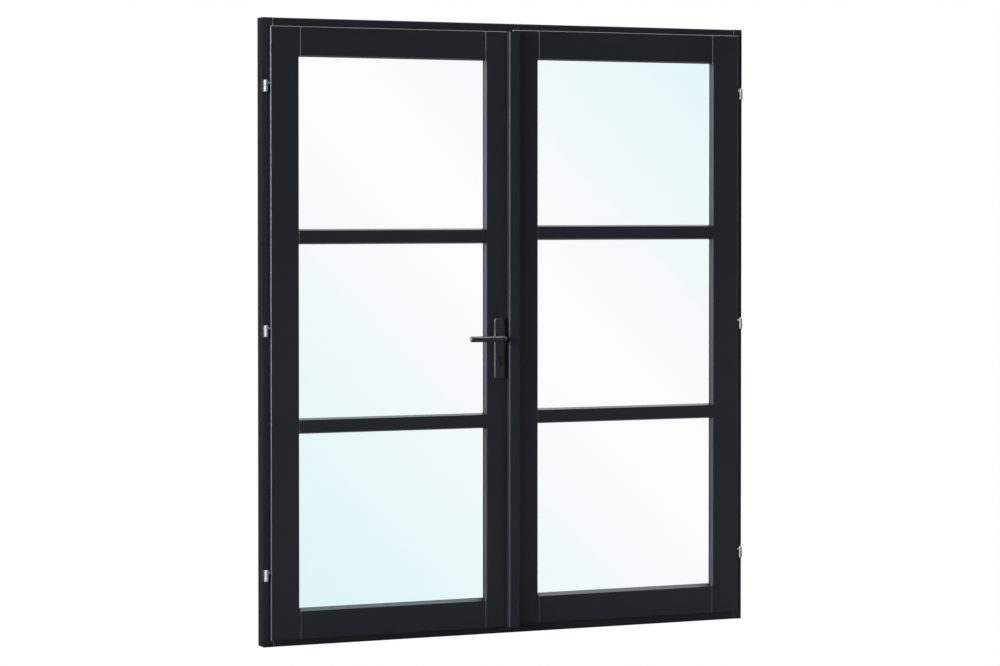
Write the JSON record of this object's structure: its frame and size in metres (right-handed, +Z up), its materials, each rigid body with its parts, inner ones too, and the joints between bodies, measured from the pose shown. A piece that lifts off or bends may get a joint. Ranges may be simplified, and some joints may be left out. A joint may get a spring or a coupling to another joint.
{
  "type": "french doors",
  "caption": "Pair of outward-opening glazed timber doors in a slim rebated frame, each leaf split by level glazing bars, with a lever handle and a cover strip on one leaf.",
  "frame": {"origin": "centre of the underside of the sill, halfway through the depth of the frame", "axes": "+Z up, -Y towards the outside, where the leaves open; +X to the right seen from outside"},
  "size_m": [1.8, 0.154, 2.1],
  "materials": {
    "black_timber": "satin black opaque paint on planed timber",
    "glass": "clear float glass, faint cool tint",
    "zinc_plate": "bright zinc-plated steel",
    "black_handle": "satin black powder coat",
    "plain_steel": "plain steel",
    "nickel_cylinder": "black-finished brass lock cylinder",
    "seal_rubber": "matt black weather seal"
  },
  "bodies": {
    "frame": {"left_jamb": "black_timber", "right_jamb": "black_timber", "head": "black_timber", "sill": "black_timber", "frame_seal": "seal_rubber", "left_low_hinge_plate": "zinc_plate", "left_mid_hinge_plate": "zinc_plate", "left_high_hinge_plate": "zinc_plate", "right_low_hinge_plate": "zinc_plate", "right_mid_hinge_plate": "zinc_plate", "right_high_hinge_plate": "zinc_plate", "hinge_pins": "plain_steel", "hinge_screws": "zinc_plate", "bolt_keepers": "zinc_plate"},
    "left_leaf": {"left_hinge_stile": "black_timber", "left_meeting_stile": "black_timber", "left_top_rail": "black_timber", "left_bottom_rail": "black_timber", "left_lower_bar": "black_timber", "left_upper_bar": "black_timber", "left_low_pane": "glass", "left_mid_pane": "glass", "left_high_pane": "glass", "left_glazing_beads": "black_timber", "left_low_hinge_arm": "zinc_plate", "left_mid_hinge_arm": "zinc_plate", "left_high_hinge_arm": "zinc_plate", "astragal": "black_timber", "lock_case": "plain_steel", "lock_faceplate": "zinc_plate", "lock_cylinder": "nickel_cylinder", "outside_handle_plate": "black_handle", "inside_handle_plate": "black_handle", "handle_screws": "black_handle"},
    "right_leaf": {"right_hinge_stile": "black_timber", "right_meeting_stile": "black_timber", "right_top_rail": "black_timber", "right_bottom_rail": "black_timber", "right_lower_bar": "black_timber", "right_upper_bar": "black_timber", "right_low_pane": "glass", "right_mid_pane": "glass", "right_high_pane": "glass", "right_glazing_beads": "black_timber", "right_low_hinge_arm": "zinc_plate", "right_mid_hinge_arm": "zinc_plate", "right_high_hinge_arm": "zinc_plate", "strike_plate": "zinc_plate", "top_bolt_guide": "zinc_plate", "bottom_bolt_guide": "zinc_plate"},
    "lever_set": {"outside_lever": "black_handle", "inside_knob": "black_handle", "spindle": "plain_steel"},
    "latch": {"latch_bolt": "plain_steel"},
    "dead_bolt": {"dead_bolt": "plain_steel"},
    "key_plug": {"key_plug": "nickel_cylinder"},
    "top_flush_bolt": {"top_flush_bolt": "plain_steel"},
    "bottom_flush_bolt": {"bottom_flush_bolt": "plain_steel"}
  },
  "joints": [
    {"name": "left_leaf_swing", "type": "hinge", "parent": "frame", "child": "left_leaf", "pos_m": [-0.8915, -0.035, 1.056], "axis": [0, 0, -1], "range_deg": [0, 160]},
    {"name": "right_leaf_swing", "type": "hinge", "parent": "frame", "child": "right_leaf", "pos_m": [0.8915, -0.035, 1.056], "axis": [0, 0, 1], "range_deg": [0, 160]},
    {"name": "lever_turn", "type": "hinge", "parent": "left_leaf", "child": "lever_set", "pos_m": [-0.052, -0.0215, 1.019], "axis": [0, -1, 0], "range_deg": [0, 45], "stiffness_Nm_per_rad": 2.5, "springref_deg": -28.65},
    {"name": "latch_slide", "type": "slide", "parent": "left_leaf", "child": "latch", "axis": [-1, 0, 0], "range_m": [0, 0.011]},
    {"name": "key_turn", "type": "hinge", "parent": "left_leaf", "child": "key_plug", "pos_m": [-0.052, -0.0215, 0.947], "axis": [0, -1, 0], "range_deg": [0, 360]},
    {"name": "dead_bolt_slide", "type": "slide", "parent": "left_leaf", "child": "dead_bolt", "axis": [1, 0, 0], "range_m": [0, 0.02]},
    {"name": "top_flush_bolt_slide", "type": "slide", "parent": "right_leaf", "child": "top_flush_bolt", "axis": [0, 0, 1], "range_m": [0, 0.02]},
    {"name": "bottom_flush_bolt_slide", "type": "slide", "parent": "right_leaf", "child": "bottom_flush_bolt", "axis": [0, 0, -1], "range_m": [0, 0.02]}
  ],
  "couplings": [
    {"joint": "latch_slide", "follows": "lever_turn", "m_per_rad": 0.0134},
    {"joint": "key_turn", "follows": "dead_bolt_slide", "rad_per_m": 314.16}
  ]
}
